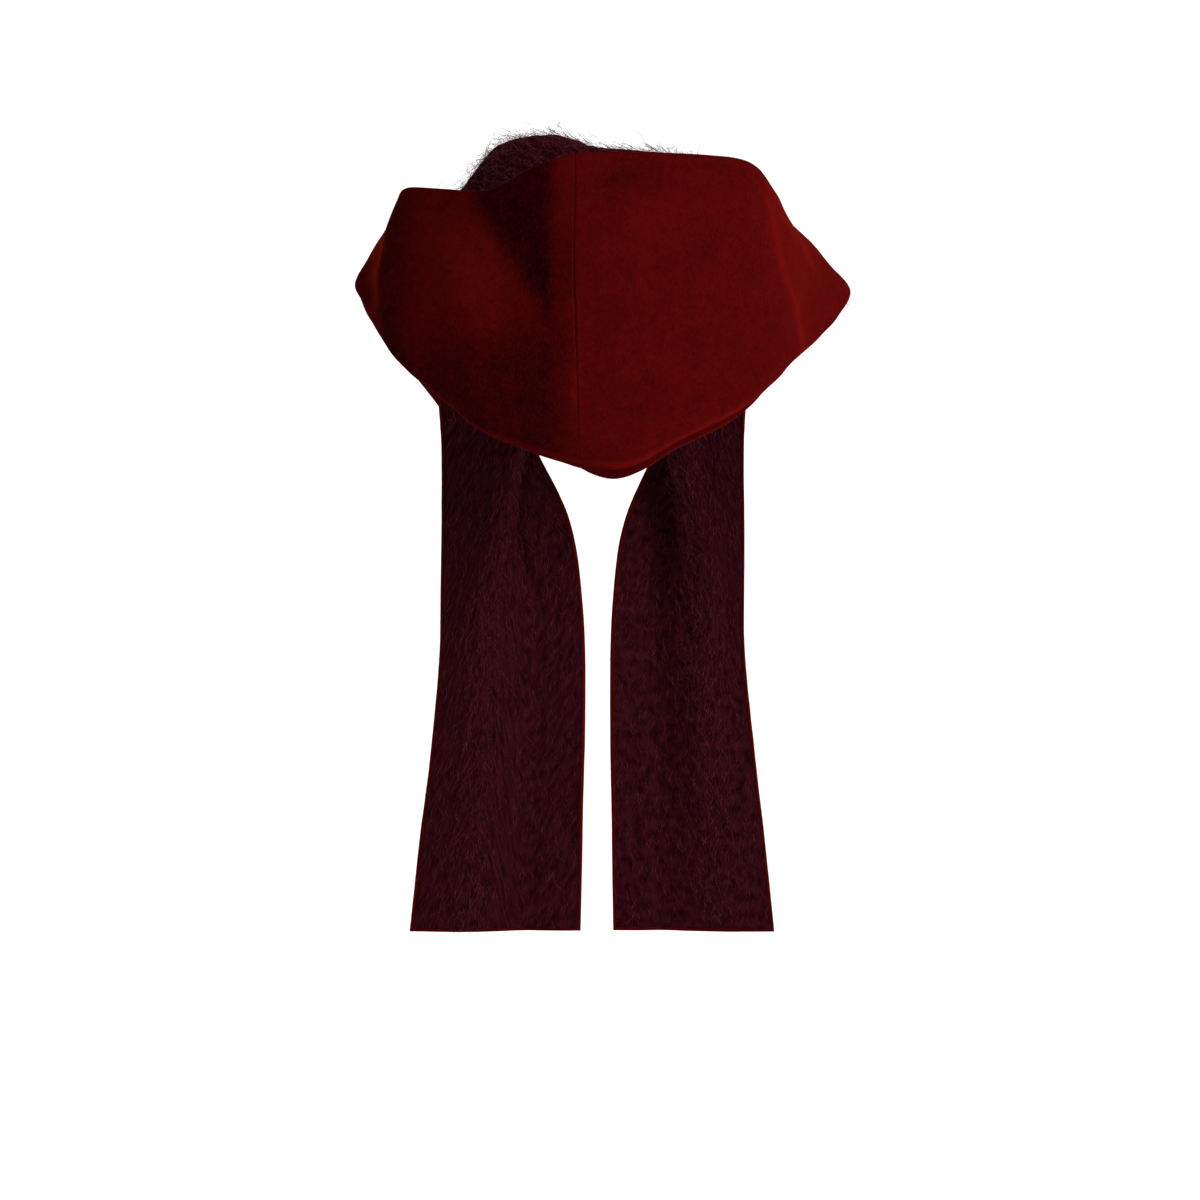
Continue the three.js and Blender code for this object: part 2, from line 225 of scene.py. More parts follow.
left_rows, right_rows = one_side(LEFT_BACK, 1), one_side(RIGHT_BACK, -1)
seam_row = guides(SEAM, (HOOD_UNIT, ROLL_UNIT, HOOD_UNIT, HOOD_UNIT), 1)
SECTIONS = np.array([*right_rows[::-1], seam_row, *left_rows])
SEAM_AT = len(right_rows)  # the section of the centre-back seam
COLLAR_STEPS = len(LEFT_BACK) + len(CHEST)  # sections from there to each collar
print(len(SECTIONS), "sections, seam at", SEAM_AT)


# %% Smooth curves through the guides
def spline(knots, at):
    """Points of the centripetal curve through knots[n, ..., 3] at parameters at[m], from 0 to n - 1."""
    padded = np.concatenate([2 * knots[:1] - knots[1:2], knots, 2 * knots[-1:] - knots[-2:-1]])
    span = np.clip(at.astype(int), 0, len(knots) - 2)
    p0, p1, p2, p3 = (padded[span + i] for i in range(4))
    d0, d1, d2 = (
        np.sqrt(np.linalg.norm(b - a, axis=-1, keepdims=True)) for a, b in ((p0, p1), (p1, p2), (p2, p3))
    )
    d1 = np.where(d1 < 1e-4, 1.0, d1)
    d0, d2 = np.where(d0 < 1e-4, d1, d0), np.where(d2 < 1e-4, d1, d2)
    leave = d1 * ((p1 - p0) / d0 - (p2 - p0) / (d0 + d1) + (p2 - p1) / d1)
    arrive = d1 * ((p2 - p1) / d1 - (p3 - p1) / (d1 + d2) + (p3 - p2) / d2)
    t = (at - span).reshape(-1, *[1] * (knots.ndim - 1))
    cubic = 2 * p1 - 2 * p2 + leave + arrive
    square = -3 * p1 + 3 * p2 - 2 * leave - arrive
    return ((cubic * t + square) * t + leave) * t + p1


def ramp(x, low, high):
    """0 below low, 1 above high and smooth between."""
    t = np.clip((x - low) / (high - low), 0, 1)
    return t * t * (3 - 2 * t)


def dent_depth(face, across, up, wide, tall, deep, turn):
    """Depth in mm of one dent at each point of the face."""
    x, z = face[..., 0] - across * HALF_SPAN, face[..., 2] - up * HOOD_DROP
    cos, sin = math.cos(math.radians(turn)), math.sin(math.radians(turn))
    lengthways = (x * cos + z * sin) / (wide * HALF_SPAN)
    sideways = (z * cos - x * sin) / (tall * HOOD_DROP)
    return deep * BACK_REACH * np.exp(-(lengthways**2 + sideways**2) / 2)


def folded_face(along, across):
    """The face between velvet and lining in mm, [len(along), len(across), 3]."""
    hem, roll, fold, edge, pile, bows, lip = spline(SECTIONS, along).transpose(1, 0, 2)
    pile = pile / np.linalg.norm(pile, axis=1, keepdims=True)
    roll_in, roll_out = roll - ROLL_HALF * pile, roll + ROLL_HALF * pile
    fold_in, fold_out = fold - FOLD_HALF * pile, fold + FOLD_HALF * pile + lip
    bowed = lambda a, b, share, bow: a + (b - a) * share + pile * bows[:, bow : bow + 1]
    knots = np.array([
        hem, bowed(hem, roll_in, 1 / 2, 0), roll_in, roll_out,
        bowed(roll_out, fold_in, 1 / 3, 1), bowed(roll_out, fold_in, 2 / 3, 1), fold_in, fold_out,
        bowed(fold_out, edge, 1 / 3, 2), bowed(fold_out, edge, 2 / 3, 2), edge,
    ])
    face = spline(knots, across).transpose(1, 0, 2)
    dent = sum(dent_depth(face, *row) for row in DENTS)
    outer = ramp(across / (len(knots) - 1), 0.72, 0.82)
    return face - pile[:, None] * (outer * dent)[..., None]


def face_normals(face):
    """Unit normals of a face on its velvet side."""
    along = np.gradient(face, axis=0)
    upwards = np.gradient(face, axis=1)
    normal = np.cross(upwards, along)
    return normal / np.linalg.norm(normal, axis=-1, keepdims=True)



# %% [markdown]
# ## Soft waves
#
# Cloth that is folded twice never lies as clean as its table. A few slow waves of under a millimetre, and
# longer folds down the hanging ends, take the drawn look away. They are sums of sine waves in random but
# seeded directions, which is quick, smooth and the same each run. Velvet and lining share them.


# %% Waves in the shared face
def waves(points, length, seed):
    """A smooth field between about -1 and 1, whose bumps are length mm apart."""
    random = np.random.default_rng(seed)
    directions = random.normal(size=(7, 3))
    directions /= np.linalg.norm(directions, axis=1, keepdims=True)
    phases = random.uniform(0, 2 * math.pi, 7)
    stretch = random.uniform(0.7, 1.4, 7)
    turns = points @ (directions * stretch[:, None] * 2 * math.pi / length).T + phases
    return np.sin(turns).sum(-1) / 3.2


def worn_face(along, across):
    """The folded face with its soft waves, and its normals."""
    face = folded_face(along, across)
    normal = face_normals(face)
    hanging = ramp(np.abs(along - SEAM_AT), COLLAR_STEPS - 2, COLLAR_STEPS + 2)[:, None]
    lift = 0.9 * waves(face, 70, 3) + 0.45 * waves(face, 30, 4)
    slow = face * (1, 0.3, 0.16)
    lift = lift * (1 - 0.5 * hanging) + hanging * (4.2 * waves(slow, 62, 5) + 1.2 * waves(slow, 30, 6))
    face = face + normal * lift[..., None]
    return face, face_normals(face)


# %% [markdown]
# ## A shell of cloth with rolled edges
#
# Real hems are turned, so cloth never ends in a sharp cut. Each piece starts as a grid on its outside.
# Rings are then added all round its border, on a small arc that rolls it inwards, wide at the free edges
# and narrow where a seam pulls it in. A second skin under the first closes it into a solid wall.


# %% Shell builder
def grid_faces(rows, columns):
    first = (np.arange(rows - 1)[:, None] * columns + np.arange(columns - 1)).ravel()
    return np.stack([first, first + 1, first + columns + 1, first + columns], axis=1)


def border_loop(rows, columns):
    """Vertex numbers round a grid's border, in the order that its faces turn."""
    at = np.arange(rows * columns).reshape(rows, columns)
    return np.concatenate([at[0, :-1], at[:-1, -1], at[-1, :0:-1], at[:0:-1, 0]])


def vertex_normals(points, faces):
    a, b, c, d = (points[faces[:, i]] for i in range(4))
    flat = np.cross(c - a, d - b)
    total = np.zeros_like(points)
    for i in range(4):
        np.add.at(total, faces[:, i], flat)
    return total / np.maximum(np.linalg.norm(total, axis=1, keepdims=True), 1e-12)


def roll_border(skin, normal, radii, turn, rings):
    """Points, faces, rim and source vertices of a skin[rows, columns, 3] whose border is rolled under.

    radii: of the arcs at the first row, the last row, the first column and the last column, in mm.
    """
    rows, columns = skin.shape[:2]
    outward = np.zeros_like(skin)
    reach = np.zeros((rows, columns))
    sides = (
        ((0, slice(None)), (1, slice(None)), radii[0]), ((-1, slice(None)), (-2, slice(None)), radii[1]),
        ((slice(None), 0), (slice(None), 1), radii[2]), ((slice(None), -1), (slice(None), -2), radii[3]),
    )
    for edge, inside, radius in sides:
        step = skin[edge] - skin[inside]
        outward[edge] += step / np.linalg.norm(step, axis=-1, keepdims=True) * radius
        reach[edge] = np.where(reach[edge] > 0, (reach[edge] + radius) / 2, radius)
    loop = border_loop(rows, columns)
    base, away, down = (a.reshape(-1, 3)[loop] for a in (skin, outward, normal))
    radius = reach.ravel()[loop][:, None]
    points, faces = [skin.reshape(-1, 3)], [grid_faces(rows, columns)]
    source = np.concatenate([np.arange(rows * columns), np.tile(loop, rings)])
    last = loop
    for ring in range(1, rings + 1):
        angle = turn * ring / rings
        points.append(base + away * math.sin(angle) + down * radius * (math.cos(angle) - 1))
        here = rows * columns + (ring - 1) * len(loop) + np.arange(len(loop))
        faces.append(np.stack([last, here, np.roll(here, -1), np.roll(last, -1)], axis=1))
        last = here
    return np.concatenate(points), np.concatenate(faces), last, source


def closed_shell(points, faces, rim, wall):
    """Adds the second skin, wall mm under the first, and the strip that joins them round the rim."""
    under = points - vertex_normals(points, faces) * wall
    count = len(points)
    strip = np.stack([rim, rim + count, np.roll(rim, -1) + count, np.roll(rim, -1)], axis=1)
    return np.concatenate([points, under]), np.concatenate([faces, faces[:, ::-1] + count, strip])


def cloth_piece(name, points, faces, values, material, node):
    """A mesh object from points in mm, with point values as attributes, standing for one CAD node."""
    mesh = bpy.data.meshes.new(name)
    mesh.from_pydata(points / 1000, [], faces.tolist())
    mesh.shade_smooth()
    for key, value in values.items():
        kind = "FLOAT_VECTOR" if value.ndim == 2 else "FLOAT"
        layer = mesh.attributes.new(key, kind, "POINT")
        layer.data.foreach_set("vector" if value.ndim == 2 else "value", value.astype(np.float32).ravel())
    mesh.materials.append(material)
    piece = bpy.data.objects.new(name, mesh)
    bpy.context.scene.collection.objects.link(piece)
    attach(piece, "root")
    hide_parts(node)
    print(f"{name}: {len(faces)} faces")
    return piece


# %% [markdown]
# ## Cotton velvet, piece-dyed rust red
#
# Velvet is a ground weave that holds a dense upright pile about a millimetre and a half long. Looked at
# straight on, the light falls between the hairs and the cloth is almost black. Where it turns away, the
# hairs' sides catch the light and it glows. A dark base with a strong sheen lobe does both. A value on
# each point sets how light the base is: partly how the pile is brushed, mostly painted shade in the
# hollows and on the side away from the light, and painted highlights along ridges, folds and the seam.

# %% Velvet material
velvet = bpy.data.materials.new("cotton_velvet_piece_dyed")
velvet.use_nodes = True
tree = velvet.node_tree
shader = tree.nodes["Principled BSDF"]
place = add_node(tree, "ShaderNodeTexCoord")
# Point value: painted shade and painted highlights, with some of the pile's direction.
nap_and_painted_light = add_node(tree, "ShaderNodeAttribute", {"attribute_name": "nap_and_painted_light"})
crushed = add_node(tree, "ShaderNodeTexNoise", Vector=place.outputs["Object"], Scale=40.0, Detail=3.0)
clouds = add_node(tree, "ShaderNodeTexNoise", Vector=place.outputs["Object"], Scale=150.0, Detail=4.0)
hang = add_node(tree, "ShaderNodeMapping", Vector=place.outputs["Object"], Scale=(1, 1, 0.5))
pile_streaks = add_node(tree, "ShaderNodeTexNoise", Vector=hang.outputs[0], Scale=800.0, Detail=2.0)
patches = add_node(
    tree, "ShaderNodeMath", {"operation": "MULTIPLY_ADD"},
    **{"0": crushed.outputs["Fac"], "1": 0.22, "2": nap_and_painted_light.outputs["Fac"]},
)
soft = add_node(
    tree, "ShaderNodeMath", {"operation": "MULTIPLY_ADD"},
    **{"0": clouds.outputs["Fac"], "1": 0.3, "2": patches.outputs[0]},
)
pile_noise_and_painted_light = add_node(
    tree, "ShaderNodeMath", {"operation": "MULTIPLY_ADD"},
    **{"0": pile_streaks.outputs["Fac"], "1": 0.7, "2": soft.outputs[0]},
)
shade = add_node(tree, "ShaderNodeMapRange", Value=pile_noise_and_painted_light.outputs[0], From_Min=0.61, From_Max=1.61)
# Dark end for velvet in painted shade, light end for velvet painted lit; random pile noise also moves between
# them.
tone = add_node(tree, "ShaderNodeMix", {"data_type": "RGBA"}, Factor=shade.outputs[0])
tone.inputs["A"].default_value = colour("#0e0101")
tone.inputs["B"].default_value = colour("#490606")
bump = add_node(
    tree, "ShaderNodeBump", Height=pile_streaks.outputs["Fac"], Strength=0.45, Distance=0.0006
)
tree.links.new(tone.outputs["Result"], shader.inputs["Base Color"])
tree.links.new(bump.outputs[0], shader.inputs["Normal"])
shader.inputs["Roughness"].default_value = 1.0
shader.inputs["Specular IOR Level"].default_value = 0.0
shader.inputs["Sheen Weight"].default_value = 0.11
shader.inputs["Sheen Roughness"].default_value = 0.3
shader.inputs["Sheen Tint"].default_value = colour("#ff472d")

# %% [markdown]
# ## Brushed mohair, wine red
#
# The lining is a loose weave whose long goat hairs are brushed up. Its ground is dark and uneven, and the
# hairs themselves carry the light. This material is the ground. The hairs are real pieces further down.

# %% Mohair materials
mohair_ground = bpy.data.materials.new("brushed_mohair_ground")
mohair_ground.use_nodes = True
tree = mohair_ground.node_tree
shader = tree.nodes["Principled BSDF"]
place = add_node(tree, "ShaderNodeAttribute", {"attribute_name": "cloth"})
combed = add_node(tree, "ShaderNodeMapping", Vector=place.outputs["Vector"], Scale=(0.16, 1, 1))
strands = add_node(
    tree, "ShaderNodeTexNoise", Vector=combed.outputs[0], Scale=900.0, Detail=4.0, Roughness=0.6,
    Distortion=1.2,
)
tufts = add_node(tree, "ShaderNodeTexNoise", Vector=place.outputs["Vector"], Scale=140.0, Detail=3.0)
depth = add_node(
    tree, "ShaderNodeMath", {"operation": "MULTIPLY_ADD"},
    **{"0": strands.outputs["Fac"], "1": 0.6, "2": tufts.outputs["Fac"]},
)
shade = add_node(tree, "ShaderNodeMapRange", Value=depth.outputs[0], From_Min=0.55, From_Max=1.05)
tone = add_node(tree, "ShaderNodeMix", {"data_type": "RGBA"}, Factor=shade.outputs[0])
tone.inputs["A"].default_value = colour("#0c0204")
tone.inputs["B"].default_value = colour("#2c0a10")
bump = add_node(tree, "ShaderNodeBump", Height=depth.outputs[0], Strength=0.9, Distance=0.0015)
tree.links.new(tone.outputs["Result"], shader.inputs["Base Color"])
tree.links.new(bump.outputs[0], shader.inputs["Normal"])
shader.inputs["Roughness"].default_value = 0.95
shader.inputs["Specular IOR Level"].default_value = 0.0
shader.inputs["Sheen Weight"].default_value = 0.08
shader.inputs["Sheen Roughness"].default_value = 0.5
shader.inputs["Sheen Tint"].default_value = colour("#8a3040")

mohair_hair = bpy.data.materials.new("mohair_goat_hair_dyed")
mohair_hair.use_nodes = True
tree = mohair_hair.node_tree
shader = tree.nodes["Principled BSDF"]
place = add_node(tree, "ShaderNodeTexCoord")
lots = add_node(tree, "ShaderNodeTexNoise", Vector=place.outputs["Object"], Scale=420.0, Detail=1.0)
shade = add_node(tree, "ShaderNodeMapRange", Value=lots.outputs["Fac"], From_Min=0.35, From_Max=0.68)
tone = add_node(tree, "ShaderNodeMix", {"data_type": "RGBA"}, Factor=shade.outputs[0])
tone.inputs["A"].default_value = colour("#14040a")
tone.inputs["B"].default_value = colour("#5c2028")
tree.links.new(tone.outputs["Result"], shader.inputs["Base Color"])
shader.inputs["Roughness"].default_value = 0.8
shader.inputs["Specular IOR Level"].default_value = 0.08

# %% [markdown]
# ## The velvet pieces
#
# Two velvet panels meet in the centre-back seam and run forward to the collarbones, where the scarf ends
# are joined on. The steps along each piece are closer near the seam, and the steps across it are closer
# at the folds, where the cloth turns within a few millimetres.

# %% Steps along and across the cloth
FREE_ROLL, SEAM_ROLL = 2.4, 1.6  # radius of a turned hem and of a cloth drawn into a seam, mm
LAST_SECTION = len(SECTIONS) - 1


def steps(stops, counts):
    """Numbers from one stop to the next with the given counts of steps."""
    parts = [np.linspace(a, b, n, endpoint=False) for a, b, n in zip(stops, stops[1:], counts)]
    return np.concatenate([*parts, stops[-1:]])


PROFILE = steps((0.05, 1.8, 3.3, 5.7, 7.06, 7.3, 9.8, 9.96), (10, 14, 18, 34, 14, 82, 8))
END_PROFILE = steps((0.05, 1.8, 3.3, 5.7, 7.4, 9.96), (14, 16, 18, 22, 22))
HALF_PANEL = steps((0.04, 0.2, 1.2, 6, 8.97), (9, 24, 84, 34))
HALF_END = steps((9.03, 14.97), (72,))


def travelled(face, axis, start):
    """Length in mm walked over the face along an axis, counted from the row or column start."""
    pace = np.linalg.norm(np.diff(face, axis=axis), axis=-1)
    walk = np.concatenate([np.zeros_like(pace.take([0], axis)), np.cumsum(pace, axis)], axis)
    return walk - walk.take([start], axis)


# %% [markdown]
# ## Relief of the sewn velvet
#
# A seam in velvet draws the cloth down and puckers it at every few stitches. On the right the bottom fold
# has been pressed to a crisp crease, with the under layer showing below it as a narrow lip.


# %% Seam puckers and crease
def velvet_relief(face, along, across, seam_row):
    """How far the velvet stands out from the worn face, in mm."""
    lift = np.zeros(face.shape[:2])
    up = travelled(face, 1, int(np.argmin(np.abs(across - 7))))
    if seam_row is not None:
        away = np.abs(travelled(face, 0, seam_row))
        uneven = waves(face, 60, 8)
        pucker = np.sin(up * 2 * math.pi / 14 + 2.5 * uneven) * (0.6 + 0.4 * waves(face, 45, 9))
        outer = ramp(across, 6.8, 7.4)
        lift += 3.0 * outer * np.exp(-away / 16)
        lift += 0.5 * pucker * np.exp(-away / 7) - 0.4 * np.exp(-((away / 3.0) ** 2))
    crisp = (ramp(SEAM_AT - along, 0.0, 0.8) * (1 - ramp(SEAM_AT - along, 3.2, 4.6)))[:, None]
    lift += crisp * (1.3 * np.exp(-(((up - 1.5) / 2.4) ** 2)) - 1.8 * np.exp(-(((up + 4) / 2.6) ** 2)))
    return lift


def spot(x, z, centre, sizes, turn=0.0):
    """A soft patch of value 1 at its centre: sizes in mm along and across the direction turn, in degrees."""
    dx, dz = x - centre[0], z - centre[1]
    cos, sin = math.cos(math.radians(turn)), math.sin(math.radians(turn))
    return np.exp(-(((dx * cos + dz * sin) / sizes[0]) ** 2 + ((dz * cos - dx * sin) / sizes[1]) ** 2) / 2)


def nap_with_painted_light(face, along, across):
    """How light the velvet's base colour is, 0 to 1: mostly painted shade and painted highlights, partly the
    pile's direction.
    """
    x, z = face[..., 0], face[..., 2]
    up = travelled(face, 1, int(np.argmin(np.abs(across - 7))))
    left, right = ramp(x, 14, 20), ramp(-x, -14, -10)
    # Painted shade in the hollow left of the seam; the rest starts at a middle value.
    past_valley = (x - 90.6) * -0.833 + (z + 22) * 0.554
    painted_hollow_shade = ramp(past_valley, -5, 13) * ramp(x, 26, 38) * (1 - ramp(x, 80, 100))
    value = 0.5 - 0.33 * painted_hollow_shade
    # Lighter in a diagonal patch below the hollow.
    value += 0.10 * spot(x, z, (86, -74), (34, 13), 56) * left
    # Painted shade low on the left and under the hollow.
    value -= 0.25 * ramp(-z, 90, 140) * ramp(x, 16, 40) + 0.12 * spot(x, z, (52, -104), (18, 20))
    # The left panel a little darker: painted shade on the side away from the light.
    value -= 0.05 * left
    # Painted shade below the left face edge and round the left tip, against the sheen's glow there.
    value -= 0.08 * spot(x, z, (122, -18), (26, 22)) + 0.3 * ramp(x, 125, 155)
    # Painted highlight along the right ridge; the right side face painted lighter, as it faces the light.
    ridge = np.interp(-z, (-6, 63, 86, 120), (-117, -131, -143, -150))
    value += (0.1 * np.exp(-(((x - ridge) / 8) ** 2)) + 0.25 * np.exp(-(((x - ridge) / 2.6) ** 2))) * ramp(-z, -4, 20) * right
    value += 0.09 * ramp(ridge - x, -4, 8) * right
    # Painted light in two patches on the right panel.
    value += (0.08 * spot(x, z, (-10, -53), (16, 8)) + 0.07 * spot(x, z, (-50, -25), (26, 10), -20)) * right
    # Painted shade in the dimple below the right face edge.
    value -= 0.18 * spot(x, z, (-17, 2), (17, 8), -20)
    # Painted highlights beside the centre-back seam on the right, and on a short stretch of the seam.
    beside_seam = x - (13.5 + 2.5 * ramp(z, -150, 0))
    value += 0.24 * np.exp(-((beside_seam / 2.4) ** 2)) * (x < 18) * right
    value += 0.3 * spot(x, z, (16.5, -147), (1.6, 8))
    # Painted highlight along the pressed crease on the right, painted shade on the lip below it.
    crisp = (ramp(SEAM_AT - along, 0.0, 0.8) * (1 - ramp(SEAM_AT - along, 3.2, 4.6)))[:, None]
    value += crisp * (0.4 * np.exp(-(((up - 2) / 2.2) ** 2)) - 0.15 * ramp(-up, 0, 2))
    # Painted highlight along the bottom fold on the left.
    value += 0.3 * np.exp(-(((up + 1) / 2.5) ** 2)) * spot(x, z, (45, -180), (26, 40))
    outer = ramp(across, 6.2, 6.8)
    return np.clip(value * outer + 0.42 * (1 - outer), 0, 1)


def velvet_piece(name, along, across, radii, seam_row=None):
    face, normal = worn_face(along, across)
    lift = velvet_relief(face, along, across, seam_row)
    skin = face + normal * (CLOTH_GAP / 2 + VELVET_WALL + lift)[..., None]
    points, faces, rim, source = roll_border(skin, normal, radii, math.pi, 6)
    points, faces = closed_shell(points, faces, rim, 1.2)
    source = np.tile(source, 2)
    # Each point carries painted shade and painted highlights, with the pile's direction, for the base colour.
    values = {"nap_and_painted_light": nap_with_painted_light(face, along, across).ravel()[source]}
    return cloth_piece(name + "_velvet", points, faces, values, velvet, name)


hems = (FREE_ROLL, FREE_ROLL)
velvet_pieces = [
    velvet_piece("hood_panel_left", SEAM_AT + HALF_PANEL, PROFILE, (SEAM_ROLL, SEAM_ROLL, *hems), 0),
    velvet_piece("hood_panel_right", SEAM_AT - HALF_PANEL[::-1], PROFILE, (SEAM_ROLL, SEAM_ROLL, *hems), -1),
    velvet_piece("scarf_end_left", SEAM_AT + HALF_END, END_PROFILE, (SEAM_ROLL, FREE_ROLL, *hems)),
    velvet_piece("scarf_end_right", SEAM_AT - HALF_END[::-1], END_PROFILE, (FREE_ROLL, SEAM_ROLL, *hems)),
]

# %% [markdown]
# ## The mohair lining
#
# The lining follows the same face on its other side. Its ground is drawn uneven, as brushed cloth is, and
# each point carries how many hairs stand there and which way they were combed, round the neck.

# %% Lining pieces
LINING_PROFILE = steps((0.1, 1.8, 3.3, 5.7, 7.4, 9.9), (10, 18, 16, 22, 30))


def lining_piece(name, along):
    face, normal = worn_face(along, LINING_PROFILE)
    tufted = 0.35 * waves(face, 9, 11) + 0.25 * waves(face, 5, 12)
    skin = (face - normal * (CLOTH_GAP / 2 + MOHAIR_WALL - 0.6 + tufted)[..., None])[:, ::-1]
    points, faces, rim, source = roll_border(skin, -normal[:, ::-1], (1.2,) * 4, math.pi / 2, 3)
    on_top = np.arange(skin[..., 0].size)
    combed = np.gradient(skin, axis=0)
    combed /= np.linalg.norm(combed, axis=-1, keepdims=True)
    on_roll = np.exp(-(((LINING_PROFILE[::-1] - 2.6) / 1.1) ** 2))
    hairs = np.zeros(2 * len(points))
    hairs[on_top] = np.broadcast_to(0.25 + 0.75 * on_roll, skin.shape[:2]).ravel()
    cloth = np.stack([travelled(skin, 0, 0), travelled(skin, 1, 0), 0 * skin[..., 0]], -1) / 1000
    source = np.tile(source, 2)
    values = {
        "hairs": hairs, "combed": combed.reshape(-1, 3)[source], "cloth": cloth.reshape(-1, 3)[source]
    }
    points, faces = closed_shell(points, faces, rim, 1.8)
    return cloth_piece(name + "_ground", points, faces, values, mohair_ground, name)


hood_along = SEAM_AT + np.concatenate([-HALF_PANEL[:0:-2], HALF_PANEL[::2]])
lining_pieces = [
    lining_piece("hood_lining", hood_along),
    lining_piece("scarf_lining_left", SEAM_AT + HALF_END),
    lining_piece("scarf_lining_right", SEAM_AT - HALF_END[::-1]),
]

# %% [markdown]
# ## Mohair hairs
#
# Mohair looks soft because thousands of long hairs leave the cloth, lie along it for a while and stand
# off it at their ends. A particle system would draw them, but it isn't real geometry. Geometry Nodes
# scatter a few short bent slivers over the lining instead, each a closed body of a dozen faces, turned
# along the combing and scaled at random from a fixed seed, and the result is turned into a plain mesh.


# %% Hair shapes
def sliver(name, bend, sway, rise):
    """A closed bent hair one unit long: a tip, two three-sided rings and a tip."""
    knots = np.array(((0, 0, -0.03), (0.33, sway * 0.6, rise * 0.75), (0.7, sway * 1.3, rise + bend * 0.5),
                      (1, sway * 0.5, rise + bend)))
    points = [knots[0]]
    for knot, thick in ((knots[1], 1.0), (knots[2], 0.8)):
        for turn in range(3):
            angle = turn * math.tau / 3 + math.pi / 2
            points.append(knot + HAIR_WIDTH * thick * np.array((0, math.cos(angle), math.sin(angle))))
    points.append(knots[3])
    faces = []
    for i in range(3):
        j = (i + 1) % 3
        faces += [(0, 1 + j, 1 + i), (1 + i, 1 + j, 4 + j), (1 + i, 4 + j, 4 + i), (4 + i, 4 + j, 7)]
    mesh = bpy.data.meshes.new(name)
    mesh.from_pydata([tuple(p) for p in points], [], faces)
    mesh.shade_smooth()
    return bpy.data.objects.new(name, mesh)


HAIR_WIDTH = 0.0085  # radius as a share of the length: a lock of a few hairs, as one alone wouldn't show
hair_shapes = bpy.data.collections.new("hair_shapes")
shape_random = np.random.default_rng(21)
for index in range(9):
    rise = (0.06, 0.1, 0.16, 0.05, 0.12, 0.2, 0.08, 0.28, 0.42)[index]
    bend, sway = shape_random.uniform(-0.04, 0.12), shape_random.uniform(-0.22, 0.22)
    hair_shapes.objects.link(sliver(f"hair_{index}", bend, sway, rise))


# %% The tree that sows hairs
sow = bpy.data.node_groups.new("sow_hairs", "GeometryNodeTree")
sow.interface.new_socket("Geometry", in_out="INPUT", socket_type="NodeSocketGeometry")
sow.interface.new_socket("Hairs per square metre", in_out="INPUT", socket_type="NodeSocketFloat")
sow.interface.new_socket("Shortest", in_out="INPUT", socket_type="NodeSocketFloat")
sow.interface.new_socket("Longest", in_out="INPUT", socket_type="NodeSocketFloat")
sow.interface.new_socket("Stray", in_out="INPUT", socket_type="NodeSocketFloat")
sow.interface.new_socket("Seed", in_out="INPUT", socket_type="NodeSocketInt")
sow.interface.new_socket("Material", in_out="INPUT", socket_type="NodeSocketMaterial")
sow.interface.new_socket("Geometry", in_out="OUTPUT", socket_type="NodeSocketGeometry")

given = add_node(sow, "NodeGroupInput").outputs
hairs = add_node(sow, "GeometryNodeInputNamedAttribute", {"data_type": "FLOAT"}, Name="hairs")
comb = add_node(sow, "GeometryNodeInputNamedAttribute", {"data_type": "FLOAT_VECTOR"}, Name="combed")
crowd = add_node(
    sow, "ShaderNodeMath", {"operation": "MULTIPLY"},
    **{"0": hairs.outputs[0], "1": given["Hairs per square metre"]},
)
roots = add_node(
    sow, "GeometryNodeDistributePointsOnFaces", Mesh=given["Geometry"], Density=crowd.outputs[0],
    Seed=given["Seed"],
)
spread = add_node(sow, "FunctionNodeRandomValue", {"data_type": "FLOAT_VECTOR"}, Seed=given["Seed"])
spread.inputs[0].default_value = (-1, -1, -1)
spread.inputs[1].default_value = (1, 1, 1)
strayed = add_node(
    sow, "ShaderNodeVectorMath", {"operation": "MULTIPLY_ADD"},
    **{"0": spread.outputs["Value"], "1": given["Stray"], "2": comb.outputs[0]},
)
upright = add_node(
    sow, "FunctionNodeAlignRotationToVector", {"axis": "Z", "pivot_axis": "AUTO"},
    Vector=roots.outputs["Normal"],
)
lengthways = add_node(
    sow, "FunctionNodeAlignRotationToVector", {"axis": "X", "pivot_axis": "Z"},
    Rotation=upright.outputs[0], Vector=strayed.outputs[0],
)
shapes = add_node(
    sow, "GeometryNodeCollectionInfo", Collection=hair_shapes, Separate_Children=True, Reset_Children=True
)
which = add_node(sow, "FunctionNodeRandomValue", {"data_type": "INT"})
which.inputs[4].default_value, which.inputs[5].default_value = 0, 8
size = add_node(
    sow, "FunctionNodeRandomValue", {"data_type": "FLOAT"}, Seed=given["Seed"],
)
sow.links.new(given["Shortest"], size.inputs[2])
sow.links.new(given["Longest"], size.inputs[3])
planted = add_node(
    sow, "GeometryNodeInstanceOnPoints", Points=roots.outputs["Points"], Instance=shapes.outputs[0],
    Pick_Instance=True, Rotation=lengthways.outputs[0], Scale=size.outputs[1],
)
sow.links.new(which.outputs[2], planted.inputs["Instance Index"])
real = add_node(sow, "GeometryNodeRealizeInstances", Geometry=planted.outputs[0])
dyed = add_node(sow, "GeometryNodeSetMaterial", Geometry=real.outputs[0], Material=given["Material"])
add_node(sow, "NodeGroupOutput", Geometry=dyed.outputs[0])
SOW_INPUTS = {item.name: item.identifier for item in sow.interface.items_tree if item.in_out == "INPUT"}


